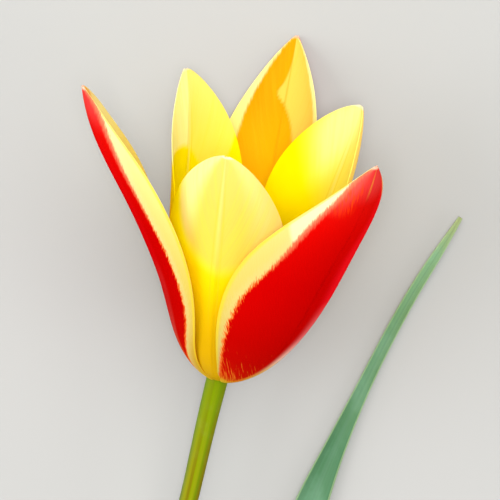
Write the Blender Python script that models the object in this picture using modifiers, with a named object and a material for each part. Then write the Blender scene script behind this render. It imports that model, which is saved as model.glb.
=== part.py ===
"""A cut wild-type tulip lying on a flat surface.

Two whorls of three tepals stand round six stamens and a pistil, on a bare stem with
one long leaf.  The flower points along +Y and rests on the tip of its back outer
tepal, the foot of the stem and the keel of the leaf.  +Z is up, the surface is Z = 0.
"""
import math
from typing import NamedTuple

import bmesh
import bpy
import numpy as np
from mathutils import Vector

NAME = "tulip"
MM = 0.001  # every length below is in millimetres, every angle in degrees

# How the flower lies: where its foot is, where it points and how far its axis rises.
FLOWER_FOOT = (-0.5, 34.4, 16.05)
HEADING = 8.2  # from +Y towards +X
RISE = 15.5  # above the surface

# Sheets: thickness, and the number of faces along and across.
TEPAL_THICKNESS = 0.4
TEPAL_FACES = (14, 8)
LEAF_THICKNESS = 0.6
LEAF_FACES = (30, 6)
SUBSTEPS = 6  # integration steps per face along a tepal's midrib
TIP_END = 0.996  # where a tepal's outline stops short of its pointed end
FOOT_HALF_WIDTH = 2.0  # of a tepal, where it joins the receptacle

# Where along a tepal its lean and its cup are given, as fractions of its length.
LEAN_AT = (0.0, 0.18, 0.45, 0.75, 1.0)
CUP_AT = (0.0, 0.5, 1.0)

# Stem: centre points from its foot to the flower, with the radius at each.
STEM_ROUTE = (
    (-39.8, -91.1, 1.75),
    (-33.8, -73.6, 2.75),
    (-26.3, -54.1, 3.90),
    (-17.1, -26.9, 5.90),
    (-10.1, -3.9, 8.45),
    (-5.8, 13.5, 11.15),
    (-2.4, 28.2, 14.35),
    FLOWER_FOOT,
)
STEM_RADII = (1.75, 1.75, 1.75, 1.72, 1.66, 1.60, 1.68, 1.80)
STEM_STEPS = 4  # curve points between two route points
# Receptacle, which ends the stem: height above the flower's foot and radius.
RECEPTACLE = ((-0.65, 1.90), (-0.1, 1.50), (0.8, 1.25), (1.35, 1.05))

# Leaf: points of its keel, then half width and cup at fractions of its length.
LEAF_KEEL = (
    (-33.8, -73.6, 0.33),
    (-27.6, -60.5, 0.45),
    (-15.0, -42.4, 0.95),
    (-0.8, -24.6, 1.25),
    (9.3, -7.6, 0.85),
    (15.3, 10.3, 0.37),
    (23.15, 28.2, 0.33),
    (32.1, 45.8, 0.55),
    (41.0, 60.3, 1.55),
)
LEAF_SHAPE_AT = (0.0, 0.06, 0.13, 0.20, 0.35, 0.50, 0.64, 0.71, 0.77, 0.88, 0.95, 1.0)
LEAF_HALF_WIDTH = (4.2, 4.0, 3.5, 3.5, 4.4, 4.4, 3.15, 2.25, 1.65, 1.3, 1.0, 0.35)
LEAF_CUP = (100, 66, 32, 30, 42, 48, 55, 68, 72, 72, 68, 60)

# Pistil: height above the flower's foot, radius and depth of its three lobes.
PISTIL_SECTIONS = (
    (1.65, 0.85, 0.00),
    (2.60, 1.10, 0.04),
    (4.50, 1.40, 0.08),
    (7.50, 1.45, 0.10),
    (10.0, 1.15, 0.10),
    (10.9, 1.10, 0.12),
    (11.5, 1.60, 0.30),
    (12.2, 1.75, 0.38),
    (12.7, 1.15, 0.30),
)
PISTIL_SIDES = 18

# Stamens: filament and anther, leaning out from the pistil.
STAMEN_LEAN = 13.0
FILAMENT_FOOT = (2.15, 3.6)  # distance from the axis, height
FILAMENT_LENGTH = 6.2
FILAMENT_RADII = (0.35, 0.50, 0.42, 0.28)
ANTHER_GAP = 0.3
ANTHER_LENGTH = 8.2
ANTHER_HALF_WIDTH = 1.05
ANTHER_HALF_DEPTH = 0.75
ANTHER_GROOVE = 0.22
ANTHER_SECTIONS = 8
ANTHER_SIDES = 12


class Whorl(NamedTuple):
    """What three tepals share: where they start and the form of their outline."""

    radius: float
    height: float
    widest: float
    fullness: float


class Tepal(NamedTuple):
    """One tepal, from its foot to its tip."""

    whorl: Whorl
    azimuth: float  # round the axis: 0 faces up, positive towards the right
    length: float
    width: float
    lean: tuple  # angle between midrib and axis, at LEAN_AT
    cup: tuple  # half angle of the cross-section's arc, at CUP_AT
    sway: float  # sideways turn of the midrib by its tip
    twist: float  # roll of the cross-section by its tip


OUTER = Whorl(radius=1.8, height=0.0, widest=0.52, fullness=0.80)
INNER = Whorl(radius=1.8, height=1.9, widest=0.58, fullness=0.65)

TEPALS = {
    "outer_tepal_left": Tepal(OUTER, -80, 61.5, 27, (61, 24.5, 28, 31, 14), (28, 40, 62), 13.5, 7),
    "outer_tepal_right": Tepal(OUTER, 43, 58.5, 31, (68, 39.5, 23.5, 25, 8), (44, 56, 42), -2, 4),
    "outer_tepal_back": Tepal(OUTER, 167, 63, 23, (80, 46.5, 12.5, 23.5, 26), (55, 59, 42), 4, -13),
    "inner_tepal_front": Tepal(INNER, -14, 50.5, 23.5, (73, 32.5, 16.5, 13.5, 14), (56, 54, 40), 1, -3),
    "inner_tepal_left": Tepal(INNER, -130, 53, 22.5, (70, 30.5, 7.3, 6, 21), (56, 64, 13), 0.5, 8),
    "inner_tepal_right": Tepal(INNER, 111, 53, 26, (71, 35.5, 4, 13, 5), (55, 55, 52), -1, 13),
}

# Base colour (linear), roughness of each kind of piece.
FINISHES = {
    "stem": ((0.28, 0.35, 0.02), 0.45),
    "leaf": ((0.15, 0.32, 0.15), 0.55),
    "outer_tepal": ((0.70, 0.01, 0.005), 0.40),
    "inner_tepal": ((0.97, 0.84, 0.05), 0.40),
    "pistil": ((0.55, 0.62, 0.12), 0.50),
    "filament": ((0.90, 0.70, 0.05), 0.50),
    "anther": ((0.80, 0.55, 0.04), 0.70),
}


def smooth(at, knots, values):
    """Values at the given places on a smooth curve through a few knots."""
    knots = np.asarray(knots, dtype=float)
    values = np.asarray(values, dtype=float)
    gaps = np.diff(knots)
    slopes = np.diff(values) / gaps
    inner = (slopes[:-1] * gaps[1:] + slopes[1:] * gaps[:-1]) / (gaps[1:] + gaps[:-1])
    tangents = np.concatenate(([slopes[0]], inner, [slopes[-1]]))
    left = np.clip(np.searchsorted(knots, at) - 1, 0, len(gaps) - 1)
    gap = gaps[left]
    s = (at - knots[left]) / gap
    return (
        (2 * s**3 - 3 * s**2 + 1) * values[left]
        + (s**3 - 2 * s**2 + s) * gap * tangents[left]
        + (3 * s**2 - 2 * s**3) * values[left + 1]
        + (s**3 - s**2) * gap * tangents[left + 1]
    )


def route_points(route, steps):
    """Evenly read points of the smooth curve through a route."""
    route = np.asarray(route, dtype=float)
    spans = np.linalg.norm(np.diff(route, axis=0), axis=1)
    knots = np.concatenate(([0.0], np.cumsum(spans)))
    at = np.linspace(0.0, knots[-1], steps + 1)
    return np.column_stack([smooth(at, knots, route[:, axis]) for axis in range(3)])


def tepal_points(tepal, rows, columns):
    """Middle surface of a tepal: x outward, y sideways, z along the flower's axis."""
    t = np.linspace(0.0, TIP_END, rows * SUBSTEPS + 1)
    lean = np.radians(smooth(t, LEAN_AT, tepal.lean))
    sway = np.radians(tepal.sway * t)
    zero = np.zeros_like(t)
    upright = np.column_stack([np.sin(lean), zero, np.cos(lean)])
    inward = np.column_stack([-np.cos(lean), zero, np.sin(lean)])
    sideways = np.array([0.0, 1.0, 0.0])
    along = np.cos(sway)[:, None] * upright + np.sin(sway)[:, None] * sideways
    across = np.cos(sway)[:, None] * sideways - np.sin(sway)[:, None] * upright
    step = tepal.length * TIP_END / (rows * SUBSTEPS)
    midrib = np.cumsum(np.vstack([np.zeros(3), step * (along[1:] + along[:-1]) / 2]), axis=0)
    midrib += (tepal.whorl.radius, 0.0, tepal.whorl.height)

    roll = np.radians(tepal.twist * t)[:, None]
    side = np.cos(roll) * across + np.sin(roll) * inward
    rise = np.cos(roll) * inward - np.sin(roll) * across
    outline = np.sin(math.pi * t ** (math.log(0.5) / math.log(tepal.whorl.widest)))
    half_width = FOOT_HALF_WIDTH * (1 - t) ** 4 + tepal.width / 2 * outline**tepal.whorl.fullness
    cup = np.radians(smooth(t, CUP_AT, tepal.cup))
    rows_kept = slice(None, None, SUBSTEPS)
    arcs = arc_sections(half_width, cup, columns)
    return (
        midrib[rows_kept, None, :]
        + arcs[rows_kept, :, 0, None] * side[rows_kept, None, :]
        + arcs[rows_kept, :, 1, None] * rise[rows_kept, None, :]
    )


def arc_sections(half_width, half_angle, columns):
    """Points of one arc per row: distance to the side and height over its lowest point."""
    u = np.linspace(-1.0, 1.0, columns + 1)
    angle = u[None, :] * half_angle[:, None]
    radius = (half_width / half_angle)[:, None]
    return np.stack([radius * np.sin(angle), radius * (1 - np.cos(angle))], axis=-1)


def leaf_points(rows, columns):
    """Middle surface of the leaf: a channel along its keel that clasps the stem's foot."""
    keel = route_points(LEAF_KEEL, rows)
    along = np.gradient(keel, axis=0)
    along /= np.linalg.norm(along, axis=1, keepdims=True)
    side = np.cross(along, (0.0, 0.0, 1.0))
    side /= np.linalg.norm(side, axis=1, keepdims=True)
    rise = np.cross(side, along)
    t = np.linspace(0.0, 1.0, rows + 1)
    half_width = smooth(t, LEAF_SHAPE_AT, LEAF_HALF_WIDTH)
    cup = np.radians(smooth(t, LEAF_SHAPE_AT, LEAF_CUP))
    arcs = arc_sections(half_width, cup, columns)
    return keel[:, None] + arcs[..., :1] * side[:, None] + arcs[..., 1:] * rise[:, None]


def finish(obj, kind):
    """Give a piece its material and smooth shading."""
    material = bpy.data.materials.get(kind)
    if material is None:
        colour, roughness = FINISHES[kind]
        material = bpy.data.materials.new(kind)
        material.use_nodes = True
        shader = material.node_tree.nodes["Principled BSDF"]
        shader.inputs["Base Color"].default_value = (*colour, 1.0)
        shader.inputs["Roughness"].default_value = roughness
        shader.inputs["Metallic"].default_value = 0.0
    obj.data.materials.append(material)
    if obj.type == "MESH":
        obj.data.shade_smooth()
    bpy.data.collections[NAME].objects.link(obj)
    return obj


def sheet(name, kind, points, thickness):
    """A grid laid on the given points and thickened to a closed solid."""
    rows, columns = points.shape[0] - 1, points.shape[1] - 1
    bm = bmesh.new()
    bmesh.ops.create_grid(bm, x_segments=columns, y_segments=rows, size=1.0)
    for vertex, point in zip(bm.verts, points.reshape(-1, 3)):
        vertex.co = Vector(point) * MM
    mesh = bpy.data.meshes.new(name)
    bm.to_mesh(mesh)
    bm.free()
    obj = bpy.data.objects.new(name, mesh)
    solid = obj.modifiers.new("thickness", "SOLIDIFY")
    solid.thickness = thickness * MM
    solid.offset = 0.0
    solid.use_even_offset = True
    return finish(obj, kind)


def tube(name, kind, points, radii, resolution):
    """A curve with round section, a radius at each point and filled ends."""
    curve = bpy.data.curves.new(name, "CURVE")
    curve.dimensions = "3D"
    curve.bevel_depth = MM
    curve.bevel_resolution = resolution
    curve.use_fill_caps = True
    spline = curve.splines.new("POLY")
    spline.points.add(len(points) - 1)
    for target, point, radius in zip(spline.points, points, radii):
        target.co = (*(Vector(point) * MM), 1.0)
        target.radius = radius
    return finish(bpy.data.objects.new(name, curve), kind)


def loft(name, kind, rings):
    """A closed solid through rings of points, capped at both ends."""
    bm = bmesh.new()
    loops = [[bm.verts.new(Vector(point) * MM) for point in ring] for ring in rings]
    for low, high in zip(loops, loops[1:]):
        for i in range(len(low)):
            j = (i + 1) % len(low)
            bm.faces.new((low[i], low[j], high[j], high[i]))
    bm.faces.new(reversed(loops[0]))
    bm.faces.new(loops[-1])
    mesh = bpy.data.meshes.new(name)
    bm.to_mesh(mesh)
    bm.free()
    return finish(bpy.data.objects.new(name, mesh), kind)


def place_on_flower(obj, flower, azimuth):
    """Hang a piece on the flower, turned round its axis; azimuth 0 faces up."""
    obj.parent = flower
    obj.rotation_euler.z = math.radians(azimuth - 90)


def make_flower_empty():
    """The flower's own frame: x to the right, z along its axis, azimuth 0 on top."""
    flower = bpy.data.objects.new("flower", None)
    bpy.context.scene.collection.objects.link(flower)
    flower.location = Vector(FLOWER_FOOT) * MM
    flower.rotation_euler = (math.radians(RISE - 90), 0.0, -math.radians(HEADING))
    return flower


def make_stem(flower):
    """The stem, with the receptacle that the tepals grow from at its top."""
    route_steps = STEM_STEPS * (len(STEM_ROUTE) - 1)
    points = list(route_points(STEM_ROUTE, route_steps)[:-1])
    knots = np.linspace(0.0, 1.0, len(STEM_RADII))
    radii = list(smooth(np.linspace(0.0, 1.0, route_steps + 1), knots, STEM_RADII)[:-1])
    axis = flower.rotation_euler.to_matrix() @ Vector((0.0, 0.0, 1.0))
    for height, radius in RECEPTACLE:
        points.append(Vector(FLOWER_FOOT) + axis * height)
        radii.append(radius)
    tube("stem", "stem", points, radii, resolution=4)


def make_leaf():
    """The long channelled leaf, which lies on its keel to the right of the stem."""
    sheet("leaf", "leaf", leaf_points(*LEAF_FACES), LEAF_THICKNESS)


def make_tepals(flower):
    """Three outer and three inner tepals."""
    for name, tepal in TEPALS.items():
        kind = "outer_tepal" if tepal.whorl is OUTER else "inner_tepal"
        piece = sheet(name, kind, tepal_points(tepal, *TEPAL_FACES), TEPAL_THICKNESS)
        place_on_flower(piece, flower, tepal.azimuth)


def lobed_ring(height, radius, lobe, sides):
    """A ring round the axis with three lobes."""
    angles = np.linspace(0.0, 2 * math.pi, sides, endpoint=False)
    reach = radius * (1 + lobe * np.cos(3 * angles))
    return np.column_stack([reach * np.cos(angles), reach * np.sin(angles), np.full(sides, height)])


def make_pistil(flower):
    """The ovary with its three-lobed stigma."""
    rings = [lobed_ring(*section, PISTIL_SIDES) for section in PISTIL_SECTIONS]
    place_on_flower(loft("pistil", "pistil", rings), flower, 0.0)


def anther_rings():
    """Rings of one anther, upright on the origin: two pollen sacs with a groove between."""
    angles = np.linspace(0.0, 2 * math.pi, ANTHER_SIDES, endpoint=False)
    rings = []
    for turn in np.linspace(0.12, math.pi - 0.12, ANTHER_SECTIONS):
        height = ANTHER_LENGTH * (1 - math.cos(turn)) / 2
        swell = math.sin(turn) ** 0.6
        groove = 1 - ANTHER_GROOVE * np.abs(np.cos(angles)) ** 3
        depth = swell * ANTHER_HALF_DEPTH * groove * np.cos(angles)
        width = swell * ANTHER_HALF_WIDTH * np.sin(angles)
        rings.append(np.column_stack([depth, width, np.full(ANTHER_SIDES, height)]))
    return rings


def lean_out(points):
    """Tilt points of a stamen outward and set them on the filament's foot."""
    lean = math.radians(STAMEN_LEAN)
    points = np.asarray(points, dtype=float)
    reach, height = FILAMENT_FOOT
    return np.column_stack(
        [
            reach + points[:, 0] * math.cos(lean) + points[:, 2] * math.sin(lean),
            points[:, 1],
            height - points[:, 0] * math.sin(lean) + points[:, 2] * math.cos(lean),
        ]
    )


def make_stamens(flower):
    """Six stamens, one before each tepal: an awl-shaped filament and its anther."""
    heights = np.linspace(0.0, FILAMENT_LENGTH, len(FILAMENT_RADII))
    filament = lean_out([(0.0, 0.0, height) for height in heights])
    lift = np.array([0.0, 0.0, FILAMENT_LENGTH + ANTHER_GAP])
    anther = [lean_out(ring + lift) for ring in anther_rings()]
    for number, tepal in enumerate(sorted(TEPALS.values(), key=lambda one: one.azimuth), start=1):
        stalk = tube(f"filament_{number}", "filament", filament, FILAMENT_RADII, resolution=2)
        place_on_flower(stalk, flower, tepal.azimuth)
        place_on_flower(loft(f"anther_{number}", "anther", anther), flower, tepal.azimuth)


def main():
    for obj in list(bpy.data.objects):
        bpy.data.objects.remove(obj)
    bpy.context.scene.collection.children.link(bpy.data.collections.new(NAME))
    flower = make_flower_empty()
    make_stem(flower)
    make_leaf()
    make_tepals(flower)
    make_pistil(flower)
    make_stamens(flower)


main()
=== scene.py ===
"""Visual model of a cut wild-type tulip lying on a pale floor.

Tepals, leaf, stem, pistil and stamens are rebuilt on the shapes of their solids, with
finer surfaces, thin margins, ribs and procedural materials.  Lengths are in
millimetres and angles in degrees until a mesh is made.
"""

import math
from typing import NamedTuple

import bpy
import numpy as np
from mathutils import Euler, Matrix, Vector


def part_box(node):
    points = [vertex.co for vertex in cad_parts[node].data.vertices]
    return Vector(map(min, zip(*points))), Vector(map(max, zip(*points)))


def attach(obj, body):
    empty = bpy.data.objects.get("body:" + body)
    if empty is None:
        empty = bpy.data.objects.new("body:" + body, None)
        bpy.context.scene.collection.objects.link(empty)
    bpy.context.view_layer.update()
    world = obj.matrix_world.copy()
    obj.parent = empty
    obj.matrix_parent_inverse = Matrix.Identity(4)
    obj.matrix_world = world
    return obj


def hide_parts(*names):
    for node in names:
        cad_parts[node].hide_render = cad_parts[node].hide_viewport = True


MM = 0.001
FIT_LIMIT = 1.5  # how far a piece's box may be from its solid's box
SHARP = math.radians(50)  # edges steeper than this stay sharp

# How the flower lies: where its foot is, where it points and how far its axis rises.
FLOWER_FOOT = (-0.5, 34.4, 16.05)
HEADING = 8.2
RISE = 15.5

# Tepal surfaces.
TEPAL_ROWS = 96
TEPAL_COLUMNS = 56
MIDRIB_STEPS = 600
TIP_END = 0.998  # share of the length at which the rows end
TIP_CROWDING = 1.5  # of rows, as a power
MARGIN_CROWDING = 0.35  # of columns, as a share
FOOT_HALF_WIDTH = 2.0
INNER_FOOT_HALF_WIDTH = 2.8
FOOT_TAPER = 4  # how fast those widths give way to the outline, as a power
TEPAL_THICKNESS = (0.38, 0.12)  # at the midrib and at the margins
LEAN_AT = (0.0, 0.18, 0.45, 0.75, 1.0)  # shares of the length for which a lean is given
CUP_AT = (0.0, 0.5, 1.0)  # and for which a cup is given
RIDGE = (0.06, 0.05)  # midrib on the back: height, and half width as a share
RIDGE_ENDS = (6, 6)  # how steeply it rises at the foot, and the power at which it ends
OUTER_RIDGE = 0.3  # share of that height on outer tepals
RIPPLE = (0.20, 3.1)  # waves of the free margins: height, and number along a margin
RIPPLE_SHIFT = 0.2  # of the waves of one margin ahead and of the other back, in turns
RIPPLE_POWERS = (4, 2)  # growth of the waves towards the margins and towards the tip
VEIN_SPREAD = (38.0, 30.0, 6.0)  # angle of side veins to the midrib at foot, middle and tip
HALVES_APART = 200.0  # gives the two halves of a tepal their own streaks
FOOT_DROP = (1.2, 0.9, 0.30)  # inner tepals: how far feet go down and out, and up to which share
SHEET_TAPER = 4  # how fast tepals and the leaf thin towards their margins, as a power

# Stem: its middle line, the radius at each point of that, and its end in the flower.
STEM_ROUTE = (
    (-39.8, -91.1, 1.75),
    (-33.8, -73.6, 2.75),
    (-26.3, -54.1, 3.90),
    (-17.1, -26.9, 5.90),
    (-10.1, -3.9, 8.45),
    (-5.8, 13.5, 11.15),
    (-2.5, 28.2, 14.35),
    (-1.0, 34.4, 16.05),
)
STEM_RADII = (1.75, 1.75, 1.75, 1.72, 1.66, 1.60, 1.62, 1.85)
RECEPTACLE = ((0.5, 2.00), (1.2, 1.75), (1.7, 1.10))  # height and radius, buried in the tepals
STEM_ROWS = 200
STEM_SIDES = 48
STEM_RIBS = (0.02, 5)  # depth as a share of the radius, and number
FINE_RIBS = (4, 1.3)  # ribs of half that depth: how many more there are, and their turn

# Leaf: the bottom of its channel, and its form at shares of the length.
LEAF_KEEL = (
    (-33.8, -73.6, 0.33),
    (-27.6, -60.5, 0.45),
    (-15.0, -42.4, 0.95),
    (-0.8, -24.6, 1.25),
    (9.3, -7.6, 0.85),
    (15.3, 10.3, 0.37),
    (23.15, 28.2, 0.33),
    (32.1, 45.8, 0.55),
    (41.0, 60.3, 1.55),
)
LEAF_SHAPE_AT = (0.0, 0.06, 0.13, 0.20, 0.35, 0.50, 0.64, 0.71, 0.77, 0.88, 0.95, 1.0)
LEAF_HALF_WIDTH = (4.2, 4.0, 3.5, 3.5, 4.4, 4.4, 3.15, 2.25, 1.65, 1.3, 1.0, 0.35)
LEAF_CUP = (100, 66, 32, 30, 42, 48, 55, 68, 72, 72, 68, 60)
LEAF_THICKNESS = (0.55, 0.18)  # at the midrib and at the margins
LEAF_LENGTH = 155.0
LEAF_ROWS = 220
LEAF_COLUMNS = 32

# Pistil: height, radius and depth of its lobes as a share of that.
PISTIL_SECTIONS = (
    (1.30, 0.80, 0.00),
    (2.60, 1.10, 0.04),
    (4.50, 1.40, 0.08),
    (7.50, 1.45, 0.10),
    (10.0, 1.15, 0.10),
    (10.9, 1.10, 0.12),
    (11.5, 1.60, 0.30),
    (12.2, 1.75, 0.38),
    (12.7, 1.15, 0.30),
)
PISTIL_LOBES = 3
PISTIL_DIMPLE = (0.55, 0.25)  # in its top: radius as a share, and depth
PISTIL_ROWS = 90
PISTIL_SIDES = 72

# Stamens.
STAMEN_LEAN = 13.0
FILAMENT_FOOT = (2.15, 3.6)  # distance from the flower's axis, and height
FILAMENT_LENGTH = 6.2
FILAMENT_RADII = (0.35, 0.50, 0.42, 0.28)
FILAMENT_ROWS = 30
FILAMENT_SIDES = 16
ANTHER_GAP = 0.1
ANTHER_LENGTH = 8.4
ANTHER_HALF_WIDTH = 1.05
ANTHER_HALF_DEPTH = 0.75
ANTHER_END = 0.06  # angle left out at both ends, where flat caps close the sacs
ANTHER_BLUNTNESS = 0.55
ANTHER_GROOVE = (0.30, 6)  # between the sacs: depth as a share, and narrowness
ANTHER_SEAM = (0.10, 0.02)  # along a sac: depth and width as shares
ANTHER_BEND = 0.25
ANTHER_ROWS = 44
ANTHER_SIDES = 40

# Camera: place from the flower's foot, turn from straight down, and lens.
CAMERA_OFFSET = (5.0, 84.9, 594.4)
CAMERA_TILT = -6.06
CAMERA_LENS = 254.1
CAMERA_SENSOR = 36.0

# Studio, in metres: name, place, size, power in watts and colour of each lamp.
LAMPS = (
    ("key", (0.10, 0.45, 0.85), 0.90, 8.0, (1.0, 0.98, 0.95)),
    ("front", (0.0, 0.13, 1.0), 0.20, 4.3, (1.0, 1.0, 1.0)),
    ("fill", (-0.75, 0.10, 0.50), 0.80, 6.6, (0.97, 0.98, 1.0)),
    ("rim", (0.75, -0.20, 0.30), 0.50, 2.2, (1.0, 1.0, 1.0)),
)
WORLD_GREY = 0.65
FLOOR_SIZE = 4.0
FLOOR_COLOUR = (0.33, 0.33, 0.32)
FLOOR_ROUGHNESS = 0.9


class Whorl(NamedTuple):
    """What three tepals share: where they start and the form of their outline."""

    radius: float
    height: float
    widest: float
    fullness: float


class Tepal(NamedTuple):
    """One tepal, from its foot to its tip."""

    whorl: Whorl
    azimuth: float
    length: float
    width: float
    lean: tuple
    cup: tuple
    sway: float
    twist: float


OUTER = Whorl(radius=1.8, height=0.0, widest=0.52, fullness=0.80)
INNER = Whorl(radius=1.8, height=1.9, widest=0.58, fullness=0.65)

# Whorl, azimuth, length, width, lean and cup from foot to tip, sway to a side, and twist.
TEPALS = {
    "outer_tepal_left": Tepal(OUTER, -80, 61.5, 27, (61, 24.5, 28, 31, 14), (28, 40, 62), 13.5, 7),
    "outer_tepal_right": Tepal(OUTER, 43, 58.5, 31, (68, 39.5, 23.5, 25, 8), (44, 56, 42), -2, 4),
    "outer_tepal_back": Tepal(OUTER, 167, 63, 23, (80, 46.5, 12.5, 23.5, 26), (55, 59, 42), 4, -13),
    "inner_tepal_front": Tepal(
        INNER, -14, 50.5, 23.5, (73, 32.5, 16.5, 13.5, 14), (56, 54, 40), 1, -3
    ),
    "inner_tepal_left": Tepal(INNER, -130, 53, 22.5, (70, 30.5, 7.3, 6, 21), (56, 64, 13), 0.5, 8),
    "inner_tepal_right": Tepal(INNER, 111, 53, 26, (71, 35.5, 4, 13, 5), (55, 55, 52), -1, 13),
}

# Across a tepal, -1 is its left margin as seen from its back, and 1 the right one.

# Reach of the dark flame on outer tepals as a share of the half width, on both halves.
FLAME_AT = (0.0, 0.10, 0.25, 0.45, 0.65, 0.80, 0.93, 1.0)
FLAMES = {
    "outer_tepal_left": (
        (0.25, 0.55, 0.80, 0.78, 0.70, 0.74, 0.85, 1.05),
        (0.25, 0.52, 0.76, 0.71, 0.60, 0.64, 0.86, 1.10),
    ),
    "outer_tepal_right": (
        (0.84, 0.88, 0.87, 0.81, 0.68, 0.74, 0.84, 1.08),
        (0.60, 0.80, 0.86, 0.85, 0.78, 0.80, 0.86, 1.08),
    ),
    "outer_tepal_back": (
        (0.40, 0.70, 0.80, 0.82, 0.84, 0.88, 0.92, 1.05),
        (0.40, 0.70, 0.78, 0.74, 0.73, 0.82, 0.92, 1.10),
    ),
}

# Painted light, a lit flank on the back of outer tepals: where it starts across them, and how
# bright it is.
FLANK_AT = (0.0, 0.06, 0.12, 0.18, 0.25, 0.32, 0.40, 0.50, 0.65, 0.80, 1.0)
FLANKS = {
    "outer_tepal_left": (
        (0.30, 0.25, 0.10, 0.0, 0.0, 0.0, 0.0, 0.0, 0.0, 0.0, 0.0),
        (0.60, 0.60, 0.16, 0.08, 0.05, 0.06, 0.12, 0.15, 0.15, 0.15, 0.05),
    ),
    "outer_tepal_right": (
        (-0.90, -0.44, -0.14, 0.02, 0.12, 0.20, 0.23, 0.22, 0.21, 0.35, 0.80),
        (0.90, 0.90, 0.90, 0.90, 0.80, 0.70, 0.70, 0.75, 0.75, 0.60, 0.30),
    ),
}
FLANK_SOFTNESS = (-0.10, 0.18)  # from where to where about its start the flank comes in
FLANK_FADE = (0.32, 0.44)  # from where to where past its start it fades out

# Painted sunlight, paler gold inside the back outer tepal left of this edge: its places along and
# across.
LIGHT_AT = (0.0, 0.60, 0.706, 0.755, 0.80, 0.838, 0.865, 0.92, 1.0)
LIGHT_EDGE = (-0.50, -0.36, -0.275, -0.20, -0.02, 0.25, 0.15, 0.02, 0.0)
LIGHT_SOFTNESS = 0.03

# Upper end of the painted shadow, a deeper yellow low on an inner tepal where other tepals shade
# it, from margin to margin, and how soft that end is, all as shares of the length.
PAINTED_SHADOW_AT = (-1.0, -0.5, 0.0, 0.5, 1.0)
PAINTED_SHADOW_ENDS = {
    "inner_tepal_front": ((0.82, 0.64, 0.555, 0.60, 0.63), 0.035),
    "inner_tepal_left": ((0.77, 0.64, 0.745, 0.758, 0.74), 0.010),
    "inner_tepal_right": ((0.45, 0.529, 0.62, 0.744, 0.88), 0.10),
}

# Paler zones of inner tepals, with the shares between which each comes in; on the front and the
# right one they are painted light.
PALE_FLANKS = ((0.75, (0.30, 0.65)), (0.40, (0.30, 0.80)))  # front: how pale, left and right
PALE_SIDE = (0.0, 0.08)  # left: right of the midrib
PALE_TOP = (0.7, (0.60, 0.80))  # right: how pale, along its brightest line
PALE_TOP_LINE = (0.45, 0.35)  # where that line is across, and how the zone falls off beside it


def smooth(at, knots, values):
    """Values at the given places on a smooth curve through a few knots."""
    knots = np.asarray(knots, dtype=float)
    values = np.asarray(values, dtype=float)
    gaps = np.diff(knots)
    slopes = np.diff(values) / gaps
    inner = (slopes[:-1] * gaps[1:] + slopes[1:] * gaps[:-1]) / (gaps[1:] + gaps[:-1])
    tangents = np.concatenate(([slopes[0]], inner, [slopes[-1]]))
    left = np.clip(np.searchsorted(knots, at) - 1, 0, len(gaps) - 1)
    gap = gaps[left]
    s = (at - knots[left]) / gap
    return (
        (2 * s**3 - 3 * s**2 + 1) * values[left]
        + (s**3 - 2 * s**2 + s) * gap * tangents[left]
        + (3 * s**2 - 2 * s**3) * values[left + 1]
        + (s**3 - s**2) * gap * tangents[left + 1]
    )


def step_between(value, low, high):
    """0 below low, 1 above high, smooth between."""
    s = np.clip((value - low) / (high - low), 0.0, 1.0)
    return s * s * (3 - 2 * s)


def evenly(values, count):
    """A count of values along a smooth curve through the given, evenly spaced ones."""
    return smooth(np.linspace(0.0, 1.0, count), np.linspace(0.0, 1.0, len(values)), values)


def unit(vectors):
    """The directions of vectors."""
    return vectors / np.linalg.norm(vectors, axis=-1, keepdims=True)


def normals(points):
    """Directions that a grid of points faces."""
    return unit(np.cross(np.gradient(points, axis=1), np.gradient(points, axis=0)))


def turns(sides):
    """Evenly spaced angles round a ring."""
    return np.linspace(0.0, 2 * math.pi, sides, endpoint=False)


def route_points(route, steps):
    """Evenly read points of the smooth curve through a route."""
    route = np.asarray(route, dtype=float)
    spans = np.linalg.norm(np.diff(route, axis=0), axis=1)
    knots = np.concatenate(([0.0], np.cumsum(spans)))
    at = np.linspace(0.0, knots[-1], steps + 1)
    return np.column_stack([smooth(at, knots, route[:, axis]) for axis in range(3)])


def flower_matrix(azimuth):
    """Rotation from the upright frame of a piece at this azimuth to the part's frame."""
    flower = Euler((math.radians(RISE - 90), 0.0, -math.radians(HEADING))).to_matrix()
    turn = Euler((0.0, 0.0, math.radians(azimuth - 90))).to_matrix()
    return np.array(flower @ turn)


def on_flower(points, azimuth):
    """Points, in the part's frame, of a piece made upright round the flower's axis."""
    return np.asarray(points) @ flower_matrix(azimuth).T + FLOWER_FOOT


# Meshes ---------------------------------------------------------------------------------


def link(name, mesh, materials, node):
    """Make a piece of a mesh and let it stand for a solid."""
    for material in materials:
        mesh.materials.append(material)
    mesh.shade_smooth()
    mesh.set_sharp_from_angle(angle=SHARP)
    obj = bpy.data.objects.new(name, mesh)
    bpy.context.scene.collection.objects.link(obj)
    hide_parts(node)
    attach(obj, "root")
    check_fit(obj, node)


def check_fit(obj, node):
    """Stop if a piece's box departs from the box of its solid."""
    points = np.empty(len(obj.data.vertices) * 3)
    obj.data.vertices.foreach_get("co", points)
    points = points.reshape(-1, 3)
    low, high = (np.array(corner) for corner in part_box(node))
    gap = max(np.abs(points.min(0) - low).max(), np.abs(points.max(0) - high).max()) / MM
    if gap > FIT_LIMIT:
        raise ValueError(f"{obj.name} departs from {node} by {gap:.2f} mm")


def add_place(mesh, name, values):
    """Store a pair of numbers per vertex as a UV map."""
    vertex = np.empty(len(mesh.loops), dtype=np.int32)
    mesh.loops.foreach_get("vertex_index", vertex)
    layer = mesh.uv_layers.new(name=name)
    layer.data.foreach_set("uv", np.asarray(values, dtype=np.float32)[vertex].ravel())


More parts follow.
